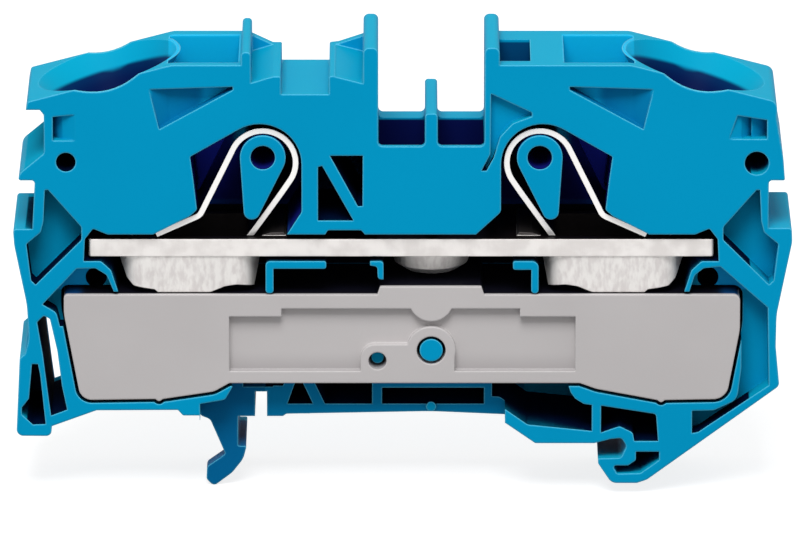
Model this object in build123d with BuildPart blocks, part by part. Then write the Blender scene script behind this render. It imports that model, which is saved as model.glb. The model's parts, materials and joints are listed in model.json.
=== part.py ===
"""Feed-through terminal block for a 35 mm rail, 12 mm wide, in millimetres.

Origin: middle of the rail, on the plane of the rail's top face, half way through the block.
+X runs along the block, from the flexible foot to the fixed hook, and +Z points away from the
rail. The moulding is open towards -Y, the front, and closed by a thin wall at +Y.

One blue polyamide moulding carries the current bar, two clamping springs and a grey filler.
"""
import math
import os

from build123d import *

# Moulding, overall
THICKNESS = 12.0  # front to back
BACK_WALL = 1.5  # closes the chambers at the back
SETBACK = 2.75  # foot and lower beam stand this far behind the front
POCKET_DEPTH = 2.5  # pockets at both ends
SIDE_BAY_DEPTH = 2.2  # bays beside the filler
TOE_THICKNESS = 1.8  # foot's toe, front to back
LEFT_REACH = 37.6  # from the rail's middle to the left end
RIGHT_REACH = 32.4  # from the rail's middle to the right end
TOP = 35.35  # flat top above the rail
FIN_RISE = 1.6  # tallest fins above the flat top
MIDDLE_X = -2.7  # the two clamps mirror each other about this line
MOUNT_GAP = 0.3  # clearance between the moulding and what sits in it
OVERCUT = 0.1  # cuts and joins run this far past a face

# Rail that the block snaps onto
RAIL_WIDTH = 35.0
RAIL_LIP = 1.0

# Current bar
BAR_TOP = 19.05
BAR_THICKNESS = 1.6
BAR_LENGTH = 56.2
BAR_INSET = 0.4  # front edge of the bar behind the front of the moulding
BAR_BACK_GAP = 0.7  # from the bar to the back wall
BAR_OPEN_GAP = 0.45  # air above the bar
COLLAR_DROP = 3.4  # drawn collars reach this far below the bar
COLLAR_END = 2.6  # from the bar's end to its collar
COLLAR_LENGTH = 12.8
COLLAR_INSET = 0.15  # from the bar's long edges
COLLAR_WALL = 1.0  # at its ends
COLLAR_SIDE_WALL = 0.8  # along its long sides
COLLAR_CORNER = 2.6
RIM_RISE = 0.3  # pressed-up rim beside each opening
DISH_RADIUS = 3.8
DISH_DROP = 2.3
DISH_WALL = 0.8

# Clamping springs and the posts that hold them
SPRING_OVERHANG = 0.27  # centre of a spring's bend past the inner end of its collar
SPRING_RISE = 7.2  # centre of a spring's bend above the bar
SPRING_RADIUS = 3.0  # to the middle of the strip
SPRING_STRIP = 0.5
SPRING_GAP = 0.35  # from the strip's edges to the collar's opening
SPRING_KNEE_OUT = 5.7  # knee of the retaining leg, from the bend's centre
SPRING_KNEE_RISE = 2.1  # above the bar
SPRING_TAIL_OUT = 9.6
SPRING_TAIL_RISE = 0.42
SPRING_FOOT_OUT = 2.1  # foot of the clamping leg, from the collar's inner end
SPRING_FOOT_DIP = 0.9  # below the top of the bar
SPRING_BEND = 1.3
SPRING_ROOM = 0.23  # air round the bend
POST_RISE = 0.45  # centre of a post above the centre of the spring's bend
POST_GAP = 0.7  # from the strip to the post
POST_HOLE = 1.1
POST_TIP_RADIUS = 0.72
POST_TIP_U = 1.0
POST_TIP_DROP = 4.6
POST_INSET = 0.25

# Conductor entries
ENTRY_TILT = 22.0  # degrees from upright
ENTRY_OUT = 13.7  # where the axis leaves the shoulder, from the collar's inner end
ENTRY_RADIUS = 3.9
ENTRY_GUIDE = 5.6  # length of the round guide below the funnel
ENTRY_SPREAD = 0.35  # the bore is this much wider below the guide
ENTRY_RIM = 6.5
ENTRY_DEPTH = 5.8  # axis behind the front face
ENTRY_WALL = 0.4  # between the funnel and the screwdriver slot
SHOULDER_INSET = 1.4
SHOULDER_Z = 31.95
SLOPE_OUT = 8.17  # top of the sloping shoulder, from the centre of the spring's bend

# Screwdriver slots
SLOT_OUT = 2.17  # from the centre of the spring's bend
SLOT_LENGTH = 6.3
SLOT_FRONT = 0.95  # front wall at the slot's mouth
SHAFT_FRONT = 2.2  # front wall below it
SLOT_BACK_LEDGE = 0.15

# Jumper slots, between the towers
JUMPER_HALF = 4.78
JUMPER_FLOOR = 27.8
JUMPER_FRONT = 0.6
JUMPER_BACK_LEDGE = 0.8
FIN = 1.33  # thickness of the fins beside them
CENTRE_FIN = 1.12
CENTRE_FIN_TOP = 30.85

# Grey filler below the bar
FILLER_BASE = 5.67  # above the rail
FILLER_GAP = 0.1  # from the collars to the filler
FILLER_RIDGE = 0.75
FILLER_BACK_GAP = 0.9
LEFT_LEG = 4.53  # from the filler to the left end
RIGHT_LEG = 4.6  # from the filler to the right end
PANEL_DEPTH = 0.7
PIN_RISE = 3.06
PIN_RADIUS = 1.04
PIN_GAP = 0.27
SMALL_PIN_X = -4.84
SMALL_PIN_RISE = 2.07
SMALL_PIN_RADIUS = 0.55

# Depths, heights and places that follow
FRONT_Y = -THICKNESS / 2
INNER_DEPTH = THICKNESS - BACK_WALL
FIN_TOP = TOP + FIN_RISE
HALF_RAIL = RAIL_WIDTH / 2
HALF_BAR = BAR_LENGTH / 2
BAR_WIDTH = INNER_DEPTH - BAR_INSET - BAR_BACK_GAP
BAR_BASE = BAR_TOP - BAR_THICKNESS
BAR_MIDDLE = BAR_INSET + BAR_WIDTH / 2
ROOF = BAR_TOP + BAR_OPEN_GAP
COLLAR_WIDTH = BAR_WIDTH - 2 * COLLAR_INSET
COLLAR_INNER = HALF_BAR - COLLAR_END - COLLAR_LENGTH
OPENING_WIDTH = COLLAR_WIDTH - 2 * COLLAR_SIDE_WALL
SPRING_U = COLLAR_INNER - SPRING_OVERHANG
SPRING_Z = BAR_TOP + SPRING_RISE
SPRING_WIDTH = OPENING_WIDTH - 2 * SPRING_GAP
POST_RADIUS = SPRING_RADIUS - SPRING_STRIP / 2 - POST_GAP
FILLER_TOP = BAR_BASE - COLLAR_DROP - FILLER_GAP
FILLER_LEFT = LEFT_REACH - LEFT_LEG
FILLER_RIGHT = RIGHT_REACH - RIGHT_LEG
FILLER_DEPTH = INNER_DEPTH - FILLER_BACK_GAP
PIN_Z = FILLER_BASE + PIN_RISE
SMALL_PIN_Z = FILLER_BASE + SMALL_PIN_RISE
ENTRY_U = COLLAR_INNER + ENTRY_OUT
SLOT_INNER = SPRING_U + SLOT_OUT
SLOPE_U = SPRING_U + SLOPE_OUT
END_U = {-1: LEFT_REACH + MIDDLE_X, 1: RIGHT_REACH - MIDDLE_X}


def face_plane(depth=0.0):
    """Upright plane at a depth behind the front face; its x is X and its y is Z."""
    return Plane.XZ.offset(-FRONT_Y - depth)


def outline(corners, depth=0.0, grow=0.0):
    """Flat face through (x, z) or (x, z, radius) corners, at a depth behind the front face."""
    with BuildSketch(face_plane(depth)) as sketch:
        with BuildLine():
            FilletPolyline(
                *[corner[:2] for corner in corners],
                radius=[corner[2] if len(corner) > 2 else 0 for corner in corners],
                close=True,
            )
        make_face()
        if grow:
            offset(amount=grow, kind=Kind.INTERSECTION)
    return sketch.sketch


def mirrored(corners, side):
    """Corners given from the middle line, taken to X on one side of it (-1 left, 1 right)."""
    return [(MIDDLE_X + side * corner[0], *corner[1:]) for corner in corners]


def shifted(corners, x, z=0.0):
    """Corners given from a point (x, z), taken to the part's own X and Z."""
    return [(corner[0] + x, corner[1] + z, *corner[2:]) for corner in corners]


def cut(outlines, depth, start=0.0):
    """Sinks outlines into the part that is being built, from one depth to another."""
    with BuildPart(mode=Mode.PRIVATE) as tools:
        for corners in outlines:
            extrude(outline(corners, start), amount=start - depth)
    add(tools.part, mode=Mode.SUBTRACT)


def circles(places, front, back, mode):
    """Round pins or holes at (x, z, radius) places, from one depth to another."""
    with BuildSketch(face_plane(front)) as sketch:
        for x, z, radius in places:
            with Locations((x, z)):
                Circle(radius)
    extrude(sketch.sketch, amount=front - back, mode=mode)


def silhouette():
    """Outer outline of the moulding, clockwise from the left shoulder."""
    return [*upper_edge(), *right_edge(), *lower_edge(), *left_edge()]


def upper_edge():
    """Shoulders, the two towers and the jumper slots between them, from left to right."""
    tower = JUMPER_HALF + FIN
    fin = -tower - 10.93
    sill = TOP - 2.7
    step = TOP - 1.05
    return [
        (MIDDLE_X - END_U[-1] + SHOULDER_INSET, SHOULDER_Z, 0.3),
        (MIDDLE_X - SLOPE_U, TOP, 2.0),
        (fin, TOP),
        (fin, TOP + 1.2, 0.35),
        (fin + 0.86, TOP + 1.2, 0.35),
        (fin + 0.86, TOP - 0.15),
        (fin + 2.75, step, 0.5),
        (fin + 3.55, step, 0.15),
        (fin + 3.55, sill),
        (fin + 7.87, sill),
        (fin + 7.87, step, 0.15),
        (fin + 8.7, step + 0.1, 0.5),
        (-tower, TOP - 0.2),
        (-tower, FIN_TOP, 0.5),
        (-JUMPER_HALF, FIN_TOP, 0.5),
        (-JUMPER_HALF, JUMPER_FLOOR, 0.45),
        (-CENTRE_FIN / 2, JUMPER_FLOOR, 0.45),
        (-CENTRE_FIN / 2, CENTRE_FIN_TOP, 0.3),
        (CENTRE_FIN / 2, CENTRE_FIN_TOP, 0.3),
        (CENTRE_FIN / 2, JUMPER_FLOOR, 0.45),
        (JUMPER_HALF, JUMPER_FLOOR, 0.45),
        (JUMPER_HALF, FIN_TOP, 0.5),
        (tower, FIN_TOP, 0.5),
        (tower, TOP),
        (MIDDLE_X + SLOPE_U, TOP, 2.0),
        (MIDDLE_X + END_U[1] - SHOULDER_INSET, SHOULDER_Z, 0.8),
    ]


def right_edge():
    """Right end with its notch, then the hook round the rail's right lip."""
    lip = -RAIL_LIP
    end = shifted(
        [
            (-1.45, SHOULDER_Z - 1.65, 2.0),
            (-0.8, 26.6, 4.0),
            (-0.65, 24.65, 0.15),
            (-2.1, 24.65, 0.3),
            (-2.1, 20.2),
            (0.0, 20.2, 0.3),
            (0.05, 18.9, 2.0),
            (-1.3, 12.1, 6.0),
            (-1.35, 9.1, 4.0),
            (-1.0, 5.4, 0.6),
        ],
        RIGHT_REACH,
    )
    hook = shifted(
        [
            (2.0, lip - 2.45, 1.2),
            (1.1, lip - 2.76, 0.4),
            (-1.2, lip - 2.76, 0.9),
            (-2.42, lip - 0.9, 0.3),
            (-2.42, lip - 0.45),
            (-0.35, lip - 0.4, 0.45),
            (0.15, -0.3, 0.5),
            (-0.3, 0.5, 0.4),
            (-1.3, 0.4, 0.5),
            (-2.75, 0.0),
            (-8.1, 0.0, 0.3),
            (-10.8, 1.9, 0.3),
        ],
        HALF_RAIL,
    )
    return end + hook


def lower_edge():
    """Beam, thin link and flexible foot that snaps under the rail's left lip."""
    lip = -RAIL_LIP
    foot = shifted(
        [
            (4.4, 1.95, 0.3),
            (4.1, 1.73),
            (2.65, 1.73),
            (2.65, 4.05),
            (1.57, 4.05),
            (1.57, 1.73),
            (0.03, 1.73),
            (0.03, lip - 0.1, 0.15),
            (0.8, lip - 0.1, 0.15),
            (0.5, lip - 1.3, 2.0),
            (-0.5, lip - 2.6, 2.0),
            (-2.2, lip - 3.9, 0.45),
            (-2.85, lip - 3.2, 0.4),
            (-2.8, lip - 2.05, 0.5),
            (-1.12, lip - 0.85, 0.3),
            (-2.5, 1.45, 0.7),
            (-3.4, 1.8, 0.4),
            (-3.4, 2.61),
            (-4.9, 2.61, 0.2),
            (-5.35, 3.13, 0.2),
        ],
        -HALF_RAIL,
    )
    return [(0.0, 2.2, 30.0), *foot, (7.4 - LEFT_REACH, 3.1, 0.5)]


def left_edge():
    """Left end: leg, waist, notch and the beak under the shoulder."""
    return shifted(
        [
            (3.35, 1.6),
            (3.3, 0.68, 0.5),
            (0.15, 0.7, 0.6),
            (0.5, 7.95, 0.15),
            (1.0, 8.4, 0.4),
            (1.35, 9.8, 3.0),
            (1.2, 13.0, 8.0),
            (0.1, 18.6, 6.0),
            (0.0, 20.1, 0.3),
            (1.75, 20.1),
            (2.0, 24.65, 0.3),
            (0.5, 24.65, 0.2),
            (0.65, 25.3, 1.0),
            (2.85, 27.15, 0.3),
            (2.85, SHOULDER_Z - 1.2, 0.3),
            (2.5, SHOULDER_Z - 0.75, 0.1),
            (1.25, SHOULDER_Z - 0.75),
        ],
        -LEFT_REACH,
    )


def filler_outline():
    """Outer outline of the grey filler, clockwise from its top left corner."""
    return [
        (-FILLER_LEFT, FILLER_TOP, 0.35),
        (-4.85, FILLER_TOP),
        (-4.6, FILLER_TOP + FILLER_RIDGE, 0.15),
        (4.5, FILLER_TOP + FILLER_RIDGE, 0.15),
        (4.75, FILLER_TOP),
        (FILLER_RIGHT, FILLER_TOP, 0.6),
        (FILLER_RIGHT, FILLER_BASE + 5.0, 6.0),
        (FILLER_RIGHT - 1.2, FILLER_BASE - 1.5, 1.4),
        (FILLER_RIGHT - 6.7, FILLER_BASE - 1.6),
        (FILLER_RIGHT - 7.05, FILLER_BASE - 1.85, 0.2),
        (FILLER_RIGHT - 7.4, FILLER_BASE - 1.6, 0.3),
        (FILLER_RIGHT - 12.9, FILLER_BASE - 0.55, 3.0),
        (FILLER_RIGHT - 14.4, FILLER_BASE, 0.4),
        (14.87 - FILLER_LEFT, FILLER_BASE, 0.4),
        (13.47 - FILLER_LEFT, FILLER_BASE - 0.8, 1.5),
        (8.87 - FILLER_LEFT, FILLER_BASE - 1.5, 0.3),
        (8.52 - FILLER_LEFT, FILLER_BASE - 1.75, 0.2),
        (8.17 - FILLER_LEFT, FILLER_BASE - 1.5),
        (1.47 - FILLER_LEFT, FILLER_BASE - 1.6, 1.2),
        (-FILLER_LEFT, FILLER_BASE + 6.5, 4.0),
    ]


def tangent_point(centre, radius, outside, turn):
    """Point where a line from outside touches a circle; turn picks the side (-1 or 1)."""
    across = outside[0] - centre[0]
    up = outside[1] - centre[1]
    angle = math.atan2(up, across) + turn * math.acos(radius / math.hypot(across, up))
    return centre[0] + radius * math.cos(angle), centre[1] + radius * math.sin(angle)


def shoulder_frame(side):
    """Middle of a funnel's mouth on the sloping shoulder, and the slope's own angle."""
    run = END_U[side] - SHOULDER_INSET - SLOPE_U
    slope = (TOP - SHOULDER_Z) / run
    mouth_z = TOP - (ENTRY_U - SLOPE_U) * slope
    return (MIDDLE_X + side * ENTRY_U, FRONT_Y + ENTRY_DEPTH, mouth_z), math.atan(slope)


def round_bore(mouth, side, lean, profile):
    """Solid turned about an axis through the mouth, leaning outwards by an angle."""
    outwards = (side * math.sin(lean), 0, math.cos(lean))
    across = (math.cos(lean), 0, -side * math.sin(lean))
    with BuildPart(mode=Mode.PRIVATE) as bore:
        with BuildSketch(Plane(mouth, x_dir=across, z_dir=(0, -1, 0))):
            with BuildLine():
                Polyline(*profile, close=True)
            make_face()
        revolve(axis=Axis(mouth, outwards))
    return bore.part


def funnel(side, wall=0.0):
    """Flared mouth of a conductor entry, square to the shoulder; wall makes its outer skin."""
    mouth, slope = shoulder_frame(side)
    flare = ENTRY_RIM - ENTRY_RADIUS
    profile = [
        (0, 1.0),
        (ENTRY_RIM + 0.9 + wall, 1.0),
        (ENTRY_RIM + wall, 0),
        (ENTRY_RADIUS + flare * 0.45 + wall, -flare * 0.6),
        (ENTRY_RADIUS + flare * 0.12 + wall, -flare * 1.25),
        (ENTRY_RADIUS - 0.1 + wall, -flare * 2.0),
        (0, -flare * 2.0),
    ]
    return round_bore(mouth, side, slope, profile)


def throat(side):
    """Round guide below the funnel, and the wider bore from it down into the collar."""
    mouth, _ = shoulder_frame(side)
    lean = math.radians(ENTRY_TILT)
    depth = (mouth[2] - ROOF + 0.5) / math.cos(lean)
    start = -(ENTRY_RIM - ENTRY_RADIUS) * 1.5
    end = start - ENTRY_GUIDE
    wide = ENTRY_RADIUS + ENTRY_SPREAD
    profile = [
        (0, start),
        (ENTRY_RADIUS, start),
        (ENTRY_RADIUS, end),
        (wide, end - ENTRY_SPREAD),
        (wide, -depth),
        (0, -depth),
    ]
    return round_bore(mouth, side, lean, profile)


def screwdriver_slot(side):
    """Slot beside a funnel, narrowing towards the spring, bounded by the funnel's own wall."""
    outer = SLOT_INNER + SLOT_LENGTH
    mouth = [
        (SLOT_INNER, TOP + 1),
        (outer, TOP + 1),
        (outer, TOP - 1.5),
        (SLOT_INNER, TOP - 1.5),
    ]
    shaft = [
        (SLOT_INNER, TOP),
        (outer, TOP),
        (outer, TOP - 0.6),
        (SLOT_INNER + 4.0, SPRING_Z + 0.4),
        (SLOT_INNER, SPRING_Z + 2.6),
    ]
    back = INNER_DEPTH - SLOT_BACK_LEDGE
    with BuildPart(mode=Mode.PRIVATE) as slot:
        extrude(outline(mirrored(mouth, side), SLOT_FRONT), amount=SLOT_FRONT - back)
        extrude(outline(mirrored(shaft, side), SHAFT_FRONT), amount=SHAFT_FRONT - back)
        add(funnel(side, ENTRY_WALL), mode=Mode.SUBTRACT)
    return slot.part


def ramp_tool(corners, floor):
    """Recess under an outline, whose floor runs through (x, depth) points."""
    ends = [(floor[-1][0], FRONT_Y - 1), (floor[0][0], FRONT_Y - 1)]
    with BuildPart(mode=Mode.PRIVATE) as tool:
        extrude(outline(corners, -OVERCUT), amount=-THICKNESS / 2)
        with BuildSketch(Plane.XY):
            with BuildLine():
                Polyline(*[(x, FRONT_Y + depth) for x, depth in floor], *ends, close=True)
            make_face()
        extrude(amount=TOP, mode=Mode.INTERSECT)
    return tool.part


def spring_path(side):
    """Middle line of one spring: clamping leg, bend over the post, retaining leg."""
    centre = (SPRING_U, SPRING_Z)
    tail = (SPRING_U + SPRING_TAIL_OUT, BAR_TOP + SPRING_TAIL_RISE)
    knee = (SPRING_U + SPRING_KNEE_OUT, BAR_TOP + SPRING_KNEE_RISE)
    foot = (COLLAR_INNER + SPRING_FOOT_OUT, BAR_TOP - SPRING_FOOT_DIP)
    outer = tangent_point(centre, SPRING_RADIUS, knee, 1)
    inner = tangent_point(centre, SPRING_RADIUS, foot, -1)
    crown = (SPRING_U - SPRING_RADIUS * 0.25, SPRING_Z + SPRING_RADIUS * math.sqrt(1 - 0.25**2))
    tail, knee, outer, crown, inner, foot = mirrored([tail, knee, outer, crown, inner, foot], side)
    with BuildLine(face_plane(BAR_MIDDLE)) as path:
        FilletPolyline(tail, knee, outer, radius=SPRING_BEND)
        ThreePointArc(outer, crown, inner)
        Line(inner, foot)
    return path.line


def chamber(side, splay):
    """Outline of the space round one spring; splay is its inner corner beside the bar."""
    reach = SPRING_RADIUS + SPRING_STRIP / 2 + SPRING_ROOM
    corners = [
        (SPRING_U + 6.52, SPRING_Z + 0.6, 0.2),
        (SPRING_U - reach, SPRING_Z + 6.4, 3.75),
        (SPRING_U - reach, BAR_TOP + 2.65, 0.6),
        (splay, ROOF - OVERCUT),
        (SPRING_U + 10.27, ROOF - OVERCUT),
        (SPRING_U + 6.57, BAR_TOP + 2.25, 0.4),
        (SPRING_U + 5.92, BAR_TOP + 2.85, 0.3),
        (SPRING_U + 6.22, SPRING_Z - 1.65),
    ]
    return mirrored(corners, side)


def bar_bay():
    """Outline of the space round the bar and its collars, down to the filler."""
    half = [
        (HALF_BAR - 1.7, ROOF + 0.1, 0.2),
        (HALF_BAR - 0.4, ROOF + 0.65, 0.2),
        (HALF_BAR + 0.35, BAR_TOP + 0.1, 0.3),
        (HALF_BAR + 0.45, BAR_BASE - 0.35),
        (HALF_BAR - 1.1, BAR_BASE - 0.35, 0.4),
        (HALF_BAR - 2.0, BAR_BASE - 1.2, 0.5),
        (HALF_BAR - 2.75, FILLER_TOP - OVERCUT),
    ]
    return mirrored(half, 1) + mirrored(half, -1)[::-1]


def beam_cells():
    """Outlines of the cells between the ribs under the filler, from the foot to the hook."""
    floor = FILLER_BASE
    foot = [
        [(0.5, 4.5), (3.2, 4.5), (3.2, floor), (0.5, floor)],
        [(3.2, 4.6), (4.1, 4.6), (4.5, floor), (3.2, floor)],
        [(4.5, 2.9), (6.8, 2.9), (5.5, floor + 0.1)],
        [(7.9, 2.9), (12.16, 2.9), (12.16, floor), (6.6, floor)],
        [(13.06, 2.9), (22.28, 2.9), (22.28, floor - 1.25), (13.06, floor - 1.25)],
    ]
    hook = [
        [
            (-12.0, floor),
            (-5.2, floor),
            (-4.9, 4.75),
            (-4.5, 4.2, 0.4),
            (-3.7, 3.7, 0.3),
            (-3.0, 3.6),
            (-3.0, 1.15),
            (-8.8, 1.75, 0.5),
            (-11.3, 3.55, 0.3),
            (-12.0, 3.6),
        ],
        [
            (-2.17, 3.55),
            (2.8, 2.75, 0.3),
            (3.0, 0.2),
            (0.85, 0.2),
            (0.7, 1.0, 0.5),
            (-0.5, 1.6, 0.4),
            (-2.17, 1.0),
        ],
        [
            (-1.1, -2.1, 0.2),
            (0.3, -2.1, 0.4),
            (1.0, -1.6, 0.3),
            (1.0, -0.8),
            (3.1, -0.8),
            (3.1, -1.6),
            (1.4, -2.85, 0.2),
            (-0.7, -2.9, 0.2),
        ],
    ]
    left_cells = [shifted(corners, -HALF_RAIL) for corners in foot]
    return left_cells + [shifted(corners, HALF_RAIL) for corners in hook]


def leg_pocket():
    """Outline of the pocket at the bottom of the left leg."""
    corners = [
        (1.6, 7.45),
        (2.15, 7.45),
        (2.35, 6.4),
        (2.8, 1.8),
        (1.65, 1.75),
        (0.65, 2.7),
        (0.65, 3.35),
        (1.3, 4.2),
    ]
    return shifted(corners, -LEFT_REACH)


def end_pocket(side):
    """Outline of the pocket in one end, behind its notch."""
    corners = [
        (-2.9, 23.75),
        (-3.2, 23.75),
        (-6.15, 20.3, 0.5),
        (-6.15, 19.1, 0.3),
        (-2.0, 14.9),
        (-1.6, 15.3),
        (-1.2, 18.7, 0.2),
        (-2.5, 19.8, 0.5),
        (-2.75, 20.8),
    ]
    return mirrored(shifted(corners, END_U[side]), side)


def side_bays():
    """Outlines of the bays between the filler and the two ends."""
    left_bay = [
        (2.6, FILLER_TOP - 0.9),
        (5.7, FILLER_TOP + 2.45),
        (7.4, FILLER_TOP + 2.5, 0.4),
        (8.4, FILLER_TOP + 1.85, 0.5),
        (9.2, FILLER_TOP - OVERCUT),
        (5.1, FILLER_TOP - OVERCUT),
        (4.6, FILLER_TOP - 2.95),
        (4.15, FILLER_TOP - 2.95),
        (3.85, FILLER_TOP - 1.65, 0.8),
    ]
    right_bay = [
        (-6.4, FILLER_TOP + 2.65),
        (-2.1, FILLER_TOP - 1.2),
        (-1.95, 5.45),
        (-8.3, 1.05),
        (-8.85, 0.95),
        (-8.85, 3.05),
        (-6.9, 3.1, 0.8),
        (-4.8, 4.1, 1.2),
        (-4.45, 7.0, 1.0),
        (-4.45, FILLER_TOP - 2.95),
        (-4.8, FILLER_TOP - 0.95),
        (-5.4, FILLER_TOP - OVERCUT),
        (-9.3, FILLER_TOP - OVERCUT),
        (-8.7, FILLER_TOP + 1.85, 0.5),
        (-7.9, FILLER_TOP + 2.5, 0.4),
    ]
    return [shifted(left_bay, -LEFT_REACH), shifted(right_bay, RIGHT_REACH)]


def leg_slot():
    """Outline of the slot that lets the left leg flex, right through the moulding."""
    corners = [
        (2.7, FILLER_TOP - 1.95, 0.2),
        (3.25, FILLER_TOP - 2.25, 0.2),
        (3.9, 8.7),
        (4.3, 5.4),
        (4.75, 3.15),
        (3.3, 2.6),
        (3.1, 4.1),
        (2.6, 8.3),
        (2.1, FILLER_TOP - 2.55, 0.2),
    ]
    return shifted(corners, -LEFT_REACH)


def step_back():
    """Outline of the foot, link and lower beam, which stand behind the front."""
    left_part = [
        (-3.35, 3.7),
        (-1.1, 4.1, 0.5),
        (-0.45, FILLER_BASE - 0.4),
        (-0.45, FILLER_BASE),
    ]
    right_part = [
        (-12.0, FILLER_BASE),
        (-10.84, 3.5),
        (-10.84, -6.0),
    ]
    below = [(-4.5, -6.0), (-4.5, 2.2), (-3.35, 2.2)]
    return [
        *shifted(left_part, -HALF_RAIL),
        *shifted(right_part, HALF_RAIL),
        *shifted(below, -HALF_RAIL),
    ]


def tall_prism(side, length, width, corner, profile):
    """Upright prism with rounded corners over a collar, kept to a profile seen from the front."""
    middle = COLLAR_INNER + COLLAR_LENGTH / 2
    with BuildPart(mode=Mode.PRIVATE) as prism:
        extrude(outline(mirrored(profile, side), BAR_INSET), amount=-BAR_WIDTH)
        with BuildSketch(Plane.XY):
            with Locations((MIDDLE_X + side * middle, FRONT_Y + BAR_MIDDLE)):
                RectangleRounded(length, width, corner)
        extrude(amount=TOP, mode=Mode.INTERSECT)
    return prism.part


def collar(side):
    """Outside of one drawn collar, longer at the top than at its uneven lower edge."""
    low = -COLLAR_DROP
    profile = [
        (-0.1, OVERCUT),
        (0.55, low + 0.42),
        (2.1, low + 0.73, 2.0),
        (3.2, low + 0.55, 1.0),
        (4.5, low, 1.0),
        (9.2, low),
        (9.5, low + 0.27),
        (11.4, low + 0.55, 0.5),
        (12.0, low + 1.2, 0.5),
        (COLLAR_LENGTH + 0.1, OVERCUT),
    ]
    profile = shifted(profile, COLLAR_INNER, BAR_BASE)
    return tall_prism(side, COLLAR_LENGTH, COLLAR_WIDTH, COLLAR_CORNER, profile)


def collar_opening(side):
    """Opening for a conductor through the bar and its collar."""
    profile = [
        (COLLAR_WALL, BAR_THICKNESS + OVERCUT),
        (COLLAR_LENGTH - COLLAR_WALL, BAR_THICKNESS + OVERCUT),
        (COLLAR_LENGTH - COLLAR_WALL - 1.3, -COLLAR_DROP - OVERCUT),
        (COLLAR_WALL + 0.4, -COLLAR_DROP - OVERCUT),
    ]
    profile = shifted(profile, COLLAR_INNER, BAR_BASE)
    length = COLLAR_LENGTH - 2 * COLLAR_WALL
    return tall_prism(side, length, OPENING_WIDTH, 0.8, profile)


os.makedirs("parts", exist_ok=True)
SIDES = (-1, 1)
left_end = -LEFT_REACH
right_end = RIGHT_REACH

# Ramped recesses of the front face, and the funnel-shaped entries
wedge_left = [(3.65, -4.8), (3.65, -7.0), (5.65, -7.0), (5.65, -4.6)]
wedge_right = [(-4.95, -4.67), (-2.3, -5.1), (-2.3, -6.85), (-5.7, -6.85)]
guide = shifted([(0.5, -2.0), (8.0, -2.25), (7.1, -5.95), (0.5, -2.3)], SLOT_INNER, TOP)
left_floor = [(3.65, 1.6), (4.5, 0.5), (5.65, 0.0)]
right_floor = [(-5.7, 0.0), (-4.6, 0.4), (-3.75, 1.4), (-3.7, 0.6), (-2.3, 1.7)]
guide_floor = [(0.5, 1.7), (6.2, 0.9), (8.0, 0.0)]
ramps = [
    ramp_tool(shifted(wedge_left, left_end, TOP), shifted(left_floor, left_end)),
    ramp_tool(shifted(wedge_right, right_end, TOP), shifted(right_floor, right_end)),
]
for side in SIDES:
    floor = mirrored(shifted(guide_floor, SLOT_INNER), side)
    ramps.append(ramp_tool(mirrored(guide, side), floor))

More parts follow.
